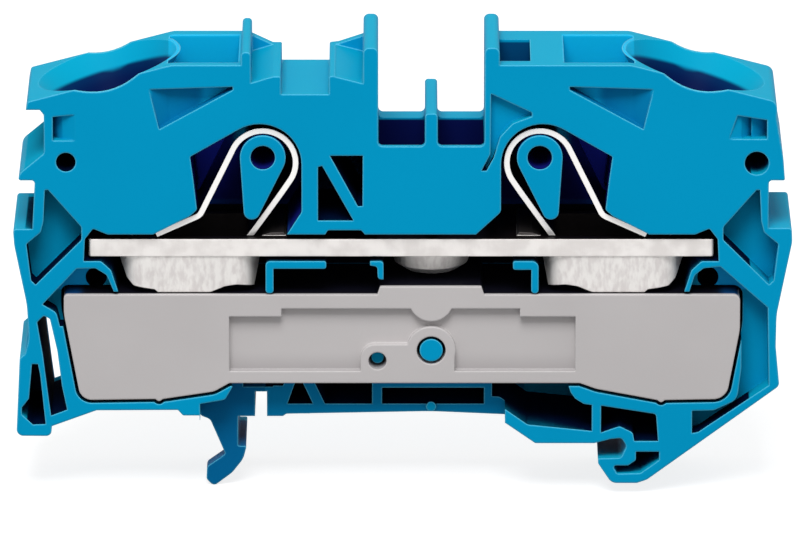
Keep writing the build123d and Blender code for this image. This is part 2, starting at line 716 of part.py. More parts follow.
# Blue moulding
with BuildPart() as housing:
    extrude(outline(silhouette()), amount=-THICKNESS)

    # Spring chambers, bar bay, windows, leg pocket and cells, down to the back wall
    notch = [(-4.87, -0.1), (-4.52, 0.5, 0.2), (-1.52, 0.5, 0.2), (-1.02, -0.1)]
    high_window = [(-4.32, 7.45), (-1.37, 7.45), (-1.4, 2.75), (-1.82, 2.75)]
    low_window = [(-5.4, 6.4), (-5.02, 6.5), (-2.22, 1.4), (-5.4, 1.4)]
    cut(
        [
            chamber(-1, SPRING_U - 2.03),
            chamber(1, SPRING_U - 5.93),
            bar_bay(),
            *[shifted(corners, -JUMPER_HALF, ROOF) for corners in (notch, high_window, low_window)],
            leg_pocket(),
            *beam_cells(),
        ],
        INNER_DEPTH,
    )

    # Seat of the filler
    seat = outline(filler_outline(), grow=MOUNT_GAP)
    extrude(seat, amount=-(FILLER_DEPTH + MOUNT_GAP), mode=Mode.SUBTRACT)

    # Conductor entries, screwdriver slots and ramps
    for side in SIDES:
        add([funnel(side), throat(side), screwdriver_slot(side)], mode=Mode.SUBTRACT)
    add(ramps, mode=Mode.SUBTRACT)

    # Jumper slots down to the bar, either side of the centre fin
    shafts = []
    for side in SIDES:
        inner = side * (CENTRE_FIN / 2 + 0.05)
        outer = side * (JUMPER_HALF - 0.05)
        head = JUMPER_FLOOR + 0.6
        foot = ROOF - 0.2
        shafts.append([(inner, head), (outer, head), (outer, foot), (inner, foot)])
    cut(shafts, INNER_DEPTH - JUMPER_BACK_LEDGE, JUMPER_FRONT)

    # Marker slot on the right tower
    marker = [(1.37, -4.0), (4.1, -4.0), (4.1, 1.0), (1.37, 1.0)]
    cut([shifted(marker, JUMPER_HALF, TOP)], 8.9, 1.5)

    # The shelves of the left tower drop in front of their gusset plates
    outer_shelf = [(-10.07, -1.65), (-8.08, -1.05), (-8.08, 1.0), (-10.07, 1.0)]
    inner_shelf = [(-2.53, -1.05), (0.0, -1.7), (0.0, 1.0), (-2.53, 1.0)]
    shelves = [shifted(corners, -JUMPER_HALF - FIN, TOP) for corners in (outer_shelf, inner_shelf)]
    cut(shelves, THICKNESS - 0.9)

    # Shallow groove of the right tower
    groove = [
        (0.57, -2.65),
        (1.82, -3.25),
        (4.22, -4.4),
        (4.22, -4.75),
        (2.52, -5.4, 0.5),
        (1.37, -6.65, 0.8),
        (0.82, -8.55, 0.8),
        (0.17, -9.8),
        (-0.28, -9.8),
        (0.52, -8.25, 0.6),
    ]
    cut([shifted(groove, JUMPER_HALF, TOP)], 0.8)

    # Pockets, side bays, leg slot, and the set-back layer
    cut([end_pocket(side) for side in SIDES], POCKET_DEPTH)
    cut(side_bays(), SIDE_BAY_DEPTH)
    cut([leg_slot()], THICKNESS + 1)
    cut([step_back()], SETBACK)

    # The toe of the foot is a thin lever near the front
    behind_toe = [(-3.5, -1.3), (-1.5, -1.3), (-0.95, -1.95), (-0.95, -6.0), (-3.5, -6.0)]
    cut([shifted(behind_toe, -HALF_RAIL)], THICKNESS + 1, SETBACK + TOE_THICKNESS)

    # The rail's left lip carries only the back of the moulding
    seat_pad = shifted([(3.2, 0.0), (6.5, 0.0), (6.5, 2.5), (3.2, 2.5)], -HALF_RAIL)
    extrude(outline(seat_pad, THICKNESS - 2.7), amount=-2.7)

    # Teardrop posts inside the springs
    for side in SIDES:
        with BuildSketch(face_plane(POST_INSET)):
            with Locations((MIDDLE_X + side * SPRING_U, SPRING_Z + POST_RISE)):
                Circle(POST_RADIUS)
            with Locations((MIDDLE_X + side * (SPRING_U + POST_TIP_U), SPRING_Z - POST_TIP_DROP)):
                Circle(POST_TIP_RADIUS)
            make_hull()
    extrude(amount=POST_INSET - INNER_DEPTH - OVERCUT)
    posts = [(MIDDLE_X + side * SPRING_U, SPRING_Z + POST_RISE, POST_HOLE) for side in SIDES]
    circles(posts, POST_INSET, INNER_DEPTH, Mode.SUBTRACT)

    # Ribs that hold the bar from below
    under = BAR_BASE - 0.35
    low = FILLER_TOP + 0.15
    left_rib = [
        (0.5, low, 0.3),
        (0.5, under, 0.4),
        (5.95, under, 0.2),
        (5.95, under - 0.7, 0.2),
        (1.2, under - 0.7),
        (1.2, low, 0.3),
    ]
    middle_rib = [
        (-5.5, under),
        (-4.3, under, 0.3),
        (-4.3, low + 1.3),
        (-4.8, low + 1.3, 0.3),
        (-4.85, under - 0.5, 0.3),
        (-5.5, under - 0.4),
    ]
    right_rib = [
        (-0.35, low, 0.3),
        (-0.35, under, 0.6),
        (-2.65, under, 0.2),
        (-2.65, under - 0.8, 0.2),
        (-1.0, under - 0.8),
        (-1.0, low, 0.3),
    ]
    left_rib = shifted(left_rib, MIDDLE_X - COLLAR_INNER)
    right_rib = shifted(right_rib, MIDDLE_X + COLLAR_INNER)
    for corners in (left_rib, middle_rib, right_rib):
        extrude(outline(corners), amount=-INNER_DEPTH - OVERCUT)

    # Pins that hold the filler
    circles([(0.0, PIN_Z, PIN_RADIUS)], 0.1, INNER_DEPTH + OVERCUT, Mode.ADD)
    circles([(SMALL_PIN_X, SMALL_PIN_Z, SMALL_PIN_RADIUS)], 1.2, INNER_DEPTH + OVERCUT, Mode.ADD)

    # Round holes of the two ends
    holes = [
        (left_end + 4.8, 26.35, 0.88),
        (right_end - 3.2, 26.25, 1.08),
        (left_end + 7.4, FILLER_TOP + 1.05, 0.95),
        (right_end - 7.46, FILLER_TOP + 1.05, 0.95),
    ]
    circles(holes, 0.0, INNER_DEPTH, Mode.SUBTRACT)

    # Boss on the beam
    circles([(0.0, 2.75, 0.45)], SETBACK - 0.4, SETBACK + 0.2, Mode.ADD)

housing.part.label = "housing"
export_step(housing.part, "parts/housing.step")

# Tinned copper bar with its drawn collars
bar_plane = Plane.XY.offset(BAR_BASE)
bar_y = FRONT_Y + BAR_MIDDLE
with BuildPart() as current_bar:
    with BuildSketch(bar_plane):
        with Locations((MIDDLE_X, bar_y)):
            RectangleRounded(BAR_LENGTH, BAR_WIDTH, 0.3)
    extrude(amount=BAR_THICKNESS)

    # Drawn collars with the uneven lower edge that drawing leaves, round the openings
    for side in SIDES:
        add(collar(side))
        add(collar_opening(side), mode=Mode.SUBTRACT)

    # Rims pressed up beside the openings
    rim = [(-2.4, -OVERCUT), (-2.1, RIM_RISE), (-0.9, RIM_RISE - 0.05), (0.2, -OVERCUT)]
    for side in SIDES:
        pressed = mirrored(shifted(rim, COLLAR_INNER, BAR_TOP), side)
        extrude(outline(pressed, BAR_INSET + 1.2), amount=1.4 - BAR_WIDTH)

    # Dish drawn into the middle of the bar, open at the top
    bottom = BAR_BASE - DISH_DROP
    inside = bottom + DISH_WALL
    dish_top = BAR_BASE + OVERCUT
    mouth_top = BAR_TOP + 1
    mouth = DISH_RADIUS - DISH_WALL
    dish_axis = Axis((0, bar_y, 0), (0, 0, 1))
    with BuildSketch(face_plane(BAR_MIDDLE)):
        with BuildLine():
            Polyline(
                (0, bottom),
                (DISH_RADIUS - 1.5, bottom),
                (DISH_RADIUS - 0.5, bottom + 0.65),
                (DISH_RADIUS, dish_top),
                (0, dish_top),
                close=True,
            )
        make_face()
    revolve(axis=dish_axis)
    with BuildSketch(face_plane(BAR_MIDDLE)):
        with BuildLine():
            Polyline((0, inside), (mouth - 0.6, inside), (mouth, mouth_top), (0, mouth_top), close=True)
        make_face()
    revolve(axis=dish_axis, mode=Mode.SUBTRACT)

current_bar.part.label = "current_bar"
export_step(current_bar.part, "parts/current_bar.step")

# Clamping springs, one bent strip each
for side, name in ((-1, "left_clamping_spring"), (1, "right_clamping_spring")):
    path = spring_path(side)
    with BuildPart() as spring:
        with BuildSketch(Plane(path @ 0, x_dir=(0, 1, 0), z_dir=path % 0)):
            Rectangle(SPRING_WIDTH, SPRING_STRIP)
        sweep(path=path)
    spring.part.label = name
    export_step(spring.part, f"parts/{name}.step")

# Grey filler below the bar
with BuildPart() as filler:
    extrude(outline(filler_outline()), amount=-FILLER_DEPTH)

    # Sunk panel round a raised boss for the two pins
    panel = [
        (-18.2, FILLER_BASE + 1.1),
        (-18.2, FILLER_TOP - 2.05),
        (-13.5, FILLER_TOP - 2.05),
        (-13.5, FILLER_TOP - 1.3),
        (8.0, FILLER_TOP - 1.3),
        (8.0, FILLER_TOP - 2.05),
        (13.0, FILLER_TOP - 2.05),
        (13.0, FILLER_BASE + 1.1),
    ]
    boss = PIN_RADIUS + PIN_GAP + 0.89
    small_boss = SMALL_PIN_RADIUS + PIN_GAP + 0.88
    with BuildSketch(face_plane()) as sunk:
        with BuildLine():
            Polyline(*panel, close=True)
        make_face()
        with Locations((0, FILLER_TOP - 0.5)):
            Circle(2.0, mode=Mode.SUBTRACT)
        with Locations((0, PIN_Z)):
            Circle(boss, mode=Mode.SUBTRACT)
        with Locations((0, PIN_Z - 1.5)):
            Rectangle(2 * boss - 0.2, 3.0, mode=Mode.SUBTRACT)
        with Locations((SMALL_PIN_X / 2 - 0.78, SMALL_PIN_Z - 0.17)):
            RectangleRounded(-SMALL_PIN_X + 1.46, 2 * small_boss, 1.3, mode=Mode.SUBTRACT)
        with Locations((SMALL_PIN_X / 2 - 0.78, SMALL_PIN_Z - 0.87)):
            Rectangle(-SMALL_PIN_X + 1.46, 2.0, mode=Mode.SUBTRACT)
    extrude(amount=-PANEL_DEPTH, mode=Mode.SUBTRACT)
    pin_holes = [
        (0.0, PIN_Z, PIN_RADIUS + PIN_GAP),
        (SMALL_PIN_X, SMALL_PIN_Z, SMALL_PIN_RADIUS + PIN_GAP),
    ]
    circles(pin_holes, 0.0, FILLER_DEPTH, Mode.SUBTRACT)

filler.part.label = "filler"
export_step(filler.part, "parts/filler.step")
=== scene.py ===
"""Feed-through terminal block: finishes, bent spring strips, studio and camera.

Metres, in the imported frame: the origin is the middle of the rail on its top face, +X runs along
the block from the flexible foot to the fixed hook, the open front faces -Y, and +Z points away
from the rail. A distance "out" is measured from the line that the two clamps mirror in.
"""
import json
import math

import bpy
import numpy as np
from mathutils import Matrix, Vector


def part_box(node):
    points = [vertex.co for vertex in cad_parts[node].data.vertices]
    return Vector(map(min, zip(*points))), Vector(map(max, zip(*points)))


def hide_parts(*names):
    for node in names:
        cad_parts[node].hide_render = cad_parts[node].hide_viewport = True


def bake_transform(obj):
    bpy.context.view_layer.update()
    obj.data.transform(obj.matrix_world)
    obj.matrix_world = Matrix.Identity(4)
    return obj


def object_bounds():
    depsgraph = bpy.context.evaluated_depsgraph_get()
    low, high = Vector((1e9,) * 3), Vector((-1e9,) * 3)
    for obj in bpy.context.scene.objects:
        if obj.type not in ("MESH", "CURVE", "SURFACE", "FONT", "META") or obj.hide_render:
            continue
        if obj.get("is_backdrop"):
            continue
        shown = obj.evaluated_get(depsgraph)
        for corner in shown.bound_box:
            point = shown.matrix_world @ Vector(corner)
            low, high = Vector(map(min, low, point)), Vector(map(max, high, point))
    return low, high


MM = 0.001
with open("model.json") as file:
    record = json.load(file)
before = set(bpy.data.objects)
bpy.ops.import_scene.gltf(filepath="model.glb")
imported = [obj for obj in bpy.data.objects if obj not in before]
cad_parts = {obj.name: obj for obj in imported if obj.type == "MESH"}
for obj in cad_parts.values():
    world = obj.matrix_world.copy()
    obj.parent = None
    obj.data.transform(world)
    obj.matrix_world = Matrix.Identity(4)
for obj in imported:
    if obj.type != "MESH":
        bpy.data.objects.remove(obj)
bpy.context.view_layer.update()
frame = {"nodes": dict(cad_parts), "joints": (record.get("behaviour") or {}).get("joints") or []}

# Spring strips, measured along their front edge in the photo
STRIP_THICKNESS = 0.52 * MM
STRIP_EDGE = 0.05 * MM  # rounding of the strip's long edges
STRIP_FRONT = -5.5 * MM  # place of its front edge
FOOT_FRONT = -4.6 * MM  # the same at the end of the foot
FOOT_TAPER = 5.0 * MM  # length over which the edge draws back to it
BEND_RADIUS = 2.95 * MM  # to the middle of the strip
BEND_DROP = 0.1 * MM  # middle of the bend below the joint's line
KNEE_BEND = 1.0 * MM
KNEE_OUT = 5.66 * MM  # from the bend's middle
KNEE_DROP = 4.9 * MM
TAIL_OUT = 9.6 * MM
TAIL_DROP = 6.7 * MM
FOOT_OUT = 1.14 * MM
FOOT_DROP = 7.02 * MM
LONGEST_RUN = 0.6 * MM

# Camera of the photograph
PICTURE_WIDTH = 799
SENSOR = 36.0
FOCAL_PIXELS = 12049.0
CAMERA_DISTANCE = 1.09
CAMERA_ELEVATION = math.radians(16.1)
CAMERA_AIM = (-2.858 * MM, 0.0, 14.69 * MM)
CLIP_START = 0.05
CLIP_END = 20.0

# Places on the moulding
FRONT_Y = -6.0 * MM
CLOSING_WALL = (4.6 * MM, 4.9 * MM)  # colours of the inside end within the back's wall
MIDDLE_X = -2.7 * MM  # the two clamps mirror in this line
BAR_TOP = 19.05 * MM
FEATHER = 0.08 * MM  # half the width of a colour's border

# Funnel of a conductor entry
ENTRY_OUT = 26.4 * MM  # middle of its mouth
ENTRY_Y = -0.2 * MM
ENTRY_Z = 33.83 * MM
ENTRY_LEAN = math.radians(17.0)
MOUTH_RADIUS = 6.0 * MM
MOUTH_TAPER = 0.52  # radius lost for each length down the axis
GUIDE_RADIUS = 4.1 * MM
LIP_TILT = 0.14  # the lip reaches deeper towards the back
LIP = (-0.75 * MM, -1.15 * MM)  # from light to dark down the axis
THROAT = (-0.9 * MM, -3.0 * MM)  # from dark to darker
THROAT_END = (-14.0 * MM, -13.0 * MM)

# Room round a spring, under a sloping roof and an arc about the bend
BEND_OUT = 12.43 * MM
BEND_Z = 26.25 * MM
BEND_ROOM = 3.7 * MM
ROOF_SLOPE = 0.58
ROOF_LEVEL = 38.1 * MM  # height of the sloping roof over the middle line
# The band below is painted light within the chamber's painted shade
CHAMBER_BAND = (19.2 * MM, 19.5 * MM, 19.8 * MM, 20.1 * MM)  # paler ledge across its back

# Boxes in millimetres: lowest and highest corner, None where a box is open
BEAM_BOX = ((-15.0, -3.6, None), (8.5, None, 5.5))
FOOT_BOX = ((-22.0, -3.6, None), (-15.0, None, 5.5))
CORE_BOX = ((-36.5, None, -0.3), (28.7, None, 27.4))
JUMPER_BOX = ((-4.9, -5.6, 20.0), (4.9, None, 27.65))
MARKER_BOX = ((6.0, -4.6, 31.3), (8.95, 2.95, 35.1))

# The same with distances out in place of x, for both sides at once
SLOT_BOX = ((14.5, -4.7, 30.4), (21.0, None, None))
RECESS_BOX = ((14.0, -5.9, 28.5), (24.0, -4.7, 33.2))
CHAMBER_BOX = ((8.55, -5.6, 19.0), (23.05, None, None))
SIDE_BAY_BOX = ((27.0, -4.5, 13.85), (31.2, -3.5, 16.8))
BAY_BOX = ((None, -5.6, 13.9), (25.65, None, 19.5))

# Filler and current bar: where a colour starts, and where it is full
FILLER_TOP = (13.65 * MM, 13.85 * MM)
FILLER_END = (28.4 * MM, 29.4 * MM)
PANEL_SHADE = (8.6 * MM, 6.4 * MM)
PANEL_DEPTH = (-5.9 * MM, -5.8 * MM)
COLLARS = (17.5 * MM, 17.35 * MM)
COLLAR_INSIDE = (-0.9 * MM, -0.5 * MM)
RAISED_RIM = (19.06 * MM, 19.11 * MM)

# Studio
FLOOR_GAP = 0.05 * MM
FLOOR_SIZE = 12.0
FLOOR_GREY = 0.35
FLOOR_GLOW = 0.8
WORLD_LIGHT = 0.5
LAMP_PLACE = (-0.05, -0.4, 0.62)
LAMP_SIZE = 0.35
LAMP_POWER = 4.4


def linear(red, green, blue):
    """Linear colour of an 8-bit sRGB colour, with an alpha of 1."""
    parts = np.array([red, green, blue]) / 255
    low = parts / 12.92
    high = ((parts + 0.055) / 1.055) ** 2.4
    return (*np.where(parts <= 0.04045, low, high).tolist(), 1.0)


class Value:
    """One output of a node; arithmetic on it adds Math nodes beside that node."""

    def __init__(self, shading, socket):
        self.shading = shading
        self.socket = socket

    def maths(self, operation, *inputs):
        settings = {"operation": operation}
        return self.shading.node("ShaderNodeMath", settings, dict(enumerate(inputs)))

    def __add__(self, other):
        return self.maths("ADD", self, other)

    def __radd__(self, other):
        return self.maths("ADD", other, self)

    def __sub__(self, other):
        return self.maths("SUBTRACT", self, other)

    def __rsub__(self, other):
        return self.maths("SUBTRACT", other, self)

    def __mul__(self, other):
        return self.maths("MULTIPLY", self, other)

    def __rmul__(self, other):
        return self.maths("MULTIPLY", other, self)

    def __pow__(self, other):
        return self.maths("POWER", self, other)

    def size(self):
        """The value without its sign."""
        return self.maths("ABSOLUTE", self)

    def most(self, other):
        """The larger of this value and another."""
        return self.maths("MAXIMUM", self, other)

    def step(self, low, high):
        """Goes from 0 at low to 1 at high, eased at both ends."""
        settings = {"interpolation_type": "SMOOTHSTEP"}
        inputs = {"Value": self, "From Min": low, "From Max": high}
        return self.shading.node("ShaderNodeMapRange", settings, inputs)


class Shading:
    """A tree of shader nodes while it is made."""

    def __init__(self, tree):
        self.tree = tree

    def feed(self, socket, value):
        """Links an output to a socket, or sets the socket's own value."""
        if isinstance(value, Value):
            self.tree.links.new(value.socket, socket)
        else:
            socket.default_value = value

    def node(self, kind, settings=None, inputs=None, output=0):
        """Adds a node, its settings first, then its sockets' values or links; gives one output."""
        made = self.tree.nodes.new(kind)
        for name, value in (settings or {}).items():
            setattr(made, name, value)
        for name, value in (inputs or {}).items():
            self.feed(made.inputs[name], value)
        return Value(self, made.outputs[output])


class Finish(Shading):
    """A procedural material while it is made."""

    def __init__(self, name):
        self.material = bpy.data.materials.new(name)
        self.material.use_nodes = True
        super().__init__(self.material.node_tree)
        self.surface = self.tree.nodes["Principled BSDF"]
        self.place = self.node("ShaderNodeTexCoord", output="Object")
        parts = self.node("ShaderNodeSeparateXYZ", inputs={0: self.place}).socket.node.outputs
        self.x, self.y, self.z = [Value(self, part) for part in parts]
        self.out = (self.x - MIDDLE_X).size()

    def noise(self, size, detail=2.0, stretch=(1, 1, 1)):
        """Noise whose blotches are about size metres across, longer where stretch is above 1."""
        place = self.place
        if stretch != (1, 1, 1):
            scale = tuple(1 / part for part in stretch)
            place = self.node("ShaderNodeMapping", inputs={"Vector": place, "Scale": scale})
        inputs = {"Vector": place, "Scale": 1 / size, "Detail": detail}
        return self.node("ShaderNodeTexNoise", inputs=inputs)

    def mix(self, factor, first, second):
        """Mixes two colours."""
        inputs = {0: factor, 6: first, 7: second}
        return self.node("ShaderNodeMix", {"data_type": "RGBA"}, inputs, output=2)

    def round_edges(self, radius):
        """Normal that rounds the sharp edges of a mesh, and a mask of those edges."""
        rounded = self.node("ShaderNodeBevel", {"samples": 6}, {"Radius": radius})
        flat = self.node("ShaderNodeNewGeometry", output="True Normal")
        settings = {"operation": "DOT_PRODUCT"}
        same = self.node("ShaderNodeVectorMath", settings, {0: rounded, 1: flat}, output="Value")
        return rounded, (1 - same).step(0.02, 0.3)

    def facing(self, axis):
        """How far the surface turns towards an axis of the part, from -1 to 1."""
        normal = self.node("ShaderNodeNewGeometry", output="True Normal")
        settings = {"operation": "DOT_PRODUCT"}
        return self.node("ShaderNodeVectorMath", settings, {0: normal, 1: axis}, output="Value")

    def hollow(self, reach):
        """How open the surface is to the room, from 0 deep in a hollow to 1 on a free face."""
        settings = {"samples": 12, "only_local": True}
        return self.node("ShaderNodeAmbientOcclusion", settings, {"Distance": reach}, output="AO")

    def bump(self, height, strength, depth, normal=None):
        """Bump from a height between 0 and 1, depth metres deep, over another normal."""
        inputs = {"Height": height, "Strength": strength, "Distance": depth}
        if normal is not None:
            inputs["Normal"] = normal
        return self.node("ShaderNodeBump", inputs=inputs)

    def wear(self, inputs):
        """Sets or links sockets of the shader, and gives the finished material."""
        for name, value in inputs.items():
            self.feed(self.surface.inputs[name], value)
        return self.material


def box_share(across, low, high):
    """1 inside a box in millimetres and 0 outside it; across is a finish's x, or its distance out."""
    finish = across.shading
    share = 1.0
    for place, start, end in zip((across, finish.y, finish.z), low, high):
        if start is not None:
            share = place.step(start * MM - FEATHER, start * MM + FEATHER) * share
        if end is not None:
            share = place.step(end * MM + FEATHER, end * MM - FEATHER) * share
    return share


def entry_share(finish):
    """1 on the wall of a conductor entry below its lip, and how deep it is there.

    Along is the height over the mouth's middle on the leaning axis, and away the distance from
    that axis. The wall lies where away is the mouth's radius plus a share of along, and never
    less than the guide's radius.
    """
    out = finish.out - ENTRY_OUT
    up = finish.z - ENTRY_Z
    deep = finish.y - ENTRY_Y
    along = out * math.sin(ENTRY_LEAN) + up * math.cos(ENTRY_LEAN)
    across = out * math.cos(ENTRY_LEAN) - up * math.sin(ENTRY_LEAN)
    away = (across * across + deep * deep) ** 0.5
    wall = (MOUTH_RADIUS + along * MOUTH_TAPER).most(GUIDE_RADIUS)
    inside = (away - wall).step(0.35 * MM, 0.1 * MM)
    inside = inside * along.step(*THROAT_END) * finish.y.step(FRONT_Y + 0.4 * MM, FRONT_Y + 0.7 * MM)
    return inside * (along + deep * LIP_TILT).step(*LIP), along.step(*THROAT)


def chamber_share(finish):
    """1 in the room round a spring: a box under a sloping roof and the arc about the bend."""
    inwards = (BEND_OUT - finish.out).most(0.0)
    above = (finish.z - BEND_Z).most(0.0)
    from_bend = (inwards * inwards + above * above) ** 0.5
    roof = finish.out * ROOF_SLOPE + finish.z
    share = box_share(finish.out, *CHAMBER_BOX) * roof.step(ROOF_LEVEL + FEATHER, ROOF_LEVEL - FEATHER)
    return share * from_bend.step(BEND_ROOM + FEATHER, BEND_ROOM - FEATHER)


def blue_polyamide():
    """Satin blue moulding: fine spark-eroded grain, soft drift, painted highlights and light, painted
    shade inside.
    """
    finish = Finish("blue_polyamide")
    drift = finish.noise(18 * MM, detail=3)
    grain = finish.noise(0.16 * MM, detail=3)
    rounded, edges = finish.round_edges(0.26 * MM)
    # Painted highlights along the edges, in a paler cyan
    painted_edge_highlight = linear(110, 218, 246)
    face = finish.mix(drift.step(0.3, 0.7) * 0.35, linear(2, 154, 202), linear(2, 145, 192))
    # Painted light: faces turned upwards get a paler cyan tint
    face = finish.mix(finish.facing((0, 0, 1)).step(0.1, 0.9), face, linear(6, 160, 195))
    outside = finish.mix(edges, face, painted_edge_highlight)

    # Beam and foot stand back from the front: painted shade there and in recesses, painted light in
    # slots
    foot = box_share(finish.x, *FOOT_BOX)
    face = finish.mix(box_share(finish.x, *BEAM_BOX), face, linear(4, 122, 174))
    face = finish.mix(foot, face, linear(4, 100, 152))
    face = finish.mix(box_share(finish.out, *SLOT_BOX), face, linear(12, 182, 230))
    face = finish.mix(box_share(finish.out, *RECESS_BOX), face, linear(3, 124, 176))

    # Painted shade in hollows and on walls that run back from the front; painted highlights on open
    # edges
    open_share = finish.hollow(30 * MM)
    towards_front = finish.facing((0, -1, 0))
    face = finish.mix(edges * open_share.step(0.55, 0.8), face, painted_edge_highlight)
    face = finish.mix(open_share.step(0.02, 0.2), linear(3, 26, 84), face)
    walls = towards_front.size().step(0.8, 0.6) * box_share(finish.x, *CORE_BOX) * (1 - foot)
    face = finish.mix(walls * open_share.step(0.75, 0.45), face, linear(0, 14, 44))

    # Painted shade in conductor entries, jumper slots, marker slot, and the room round the springs and
    # bar
    throat, depth = entry_share(finish)
    face = finish.mix(throat, face, finish.mix(depth, linear(2, 50, 98), linear(3, 24, 76)))
    face = finish.mix(box_share(finish.x, *JUMPER_BOX), face, linear(10, 20, 78))
    face = finish.mix(box_share(finish.x, *MARKER_BOX), face, linear(4, 60, 112))
    # Painted light: a paler band on the ledge across the chamber's back
    band_low, band_bright, band_fade, band_top = CHAMBER_BAND
    band = finish.z.step(band_low, band_bright) * finish.z.step(band_top, band_fade)
    above_bar = finish.z.step(BAR_TOP + 0.05 * MM, BAR_TOP + 0.25 * MM)
    dark = finish.mix(above_bar, linear(20, 15, 24), linear(18, 26, 112))
    dark = finish.mix(band, dark, linear(24, 60, 140))
    face = finish.mix(chamber_share(finish), face, dark)
    # Painted light on the floors of the side bays, which lie in shade
    side_bay = box_share(finish.out, *SIDE_BAY_BOX) * towards_front.step(0.8, 0.95)
    face = finish.mix(side_bay, face, linear(24, 176, 250))
    face = finish.mix(box_share(finish.out, *BAY_BOX), face, linear(6, 9, 22))

    # Behind the back's wall the outside keeps the plain colour with its painted edge highlights
    face = finish.mix(finish.y.step(*CLOSING_WALL), face, outside)
    return finish.wear({
        "Base Color": face,
        "Roughness": 0.42 + 0.1 * drift + 0.45 * walls,
        "Normal": finish.bump(grain, 0.12, 0.03 * MM, rounded),
        "Specular IOR Level": 0.02,
    })


def grey_polyamide():
    """Light grey moulding of the filler, coarser and matter than the blue one, painted shade on its
    top.
    """
    finish = Finish("grey_polyamide")
    drift = finish.noise(14 * MM, detail=3)
    grain = finish.noise(0.2 * MM, detail=3)
    rounded, edges = finish.round_edges(0.2 * MM)
    face = finish.mix(drift.step(0.3, 0.7) * 0.5, linear(197, 193, 193), linear(188, 184, 184))
    panel = finish.y.step(*PANEL_DEPTH) * finish.z.step(*PANEL_SHADE)
    face = finish.mix(panel * 0.8, face, linear(168, 164, 165))
    # Painted highlights on the edges
    face = finish.mix(edges * 0.7, face, linear(232, 230, 229))
    # Painted shade on the top, near black, with a painted blue reflection of the walls towards the ends
    dark = finish.mix(finish.out.step(*FILLER_END), linear(9, 9, 20), linear(6, 58, 106))
    top = finish.y.step(FRONT_Y + 0.3 * MM, FRONT_Y + 0.6 * MM) * finish.z.step(*FILLER_TOP)
    return finish.wear({
        "Base Color": finish.mix(top, face, dark),
        "Roughness": 0.5 + 0.1 * drift,
        "Normal": finish.bump(grain, 0.15, 0.03 * MM, rounded),
        "Specular IOR Level": 0.1,
    })


def tinned_copper():
    """Dull tin over copper: milky patches, and fine upright scores where the collars were drawn.

    The top of the bar and the inside of its collars get painted shade, as nothing bright stands over
    them.
    """
    finish = Finish("tinned_copper")
    patches = finish.noise(1.6 * MM, detail=5)
    burnish = finish.noise(0.5 * MM, detail=6, stretch=(1, 1, 2.5))
    scores = finish.noise(0.12 * MM, detail=3, stretch=(1, 1, 14))
    rounded, edges = finish.round_edges(0.12 * MM)
    face = finish.mix(patches.step(0.35, 0.65), linear(224, 219, 216), linear(236, 232, 229))
    drawn = finish.mix(burnish.step(0.36, 0.62), linear(213, 208, 206), linear(231, 228, 225))
    face = finish.mix(finish.z.step(*COLLARS), face, drawn)
    # Painted highlights on the edges, and painted light on faces turned away from the front
    face = finish.mix(edges * 0.4, face, linear(250, 248, 245))
    turned = finish.facing((0, -1, 0)).step(0.98, 0.6)
    face = finish.mix(turned, face, linear(255, 253, 250))
    upward = finish.facing((0, 0, 1)).step(0.4, 0.8)
    dark = upward.most(finish.y.step(*COLLAR_INSIDE))
    face = finish.mix(dark, face, linear(36, 31, 33))
    metal = 0.3 + 0.2 * patches.step(0.4, 0.7)
    return finish.wear({
        # Painted shade on the raised rim over the bar's top
        "Base Color": finish.mix(finish.z.step(*RAISED_RIM), face, linear(84, 80, 80)),
        "Metallic": metal.most(0.95 * turned),
        "Roughness": 0.42 + 0.2 * patches,
        "Normal": finish.bump(scores, 0.2, 0.03 * MM, rounded),
        "Specular IOR Level": 0.2,
    })


def spring_steel():
    """Bright sheared edge on rolled spring strip; its faces are painted near black as shade in the
    chamber.
    """
    finish = Finish("spring_steel")
    lines = finish.noise(0.05 * MM, detail=2, stretch=(1, 30, 1))
    cloud = finish.noise(2.5 * MM, detail=3)
    edge = finish.mix(cloud.step(0.3, 0.7), linear(249, 247, 245), linear(255, 253, 251))
    front = finish.facing((0, -1, 0)).step(0.3, 0.6)
    return finish.wear({
        "Base Color": finish.mix(front, linear(14, 14, 22), edge),
        "Metallic": 1 - 0.7 * front,
        "Roughness": 0.26 + 0.14 * lines,
        "Normal": finish.bump(lines, 0.1, 0.01 * MM),
    })


def dress(item, material):
    """Gives a mesh one material."""
    item.data.materials.clear()
    item.data.materials.append(material)


def mesh_object(name, grid):
    """Closed mesh through a grid of points: rows along, columns round, with flat ends."""
    rows, columns, _ = grid.shape
    corner = np.arange(rows * columns).reshape(rows, columns)
    beside = np.roll(corner, -1, axis=1)
    quads = np.stack([corner[:-1], beside[:-1], beside[1:], corner[1:]], axis=-1).reshape(-1, 4)
    ends = [corner[0][::-1].tolist(), corner[-1].tolist()]
    data = bpy.data.meshes.new(name)
    data.from_pydata(grid.reshape(-1, 3).tolist(), [], quads.tolist() + ends)
    data.update()
    item = bpy.data.objects.new(name, data)
    bpy.context.scene.collection.objects.link(item)
    return item


def touch_angle(centre, radius, outside, turn):
    """Angle, seen from a circle's centre, of the point where a line from outside touches it."""
    along = outside - centre
    return math.atan2(along[1], along[0]) + turn * math.acos(radius / np.hypot(*along))


def arc(centre, radius, start, end, count):
    """Points on a circle between two angles: centre + radius (cos, sin)."""
    angles = np.linspace(start, end, count)[:, None]
    return centre + radius * np.hstack([np.cos(angles), np.sin(angles)])


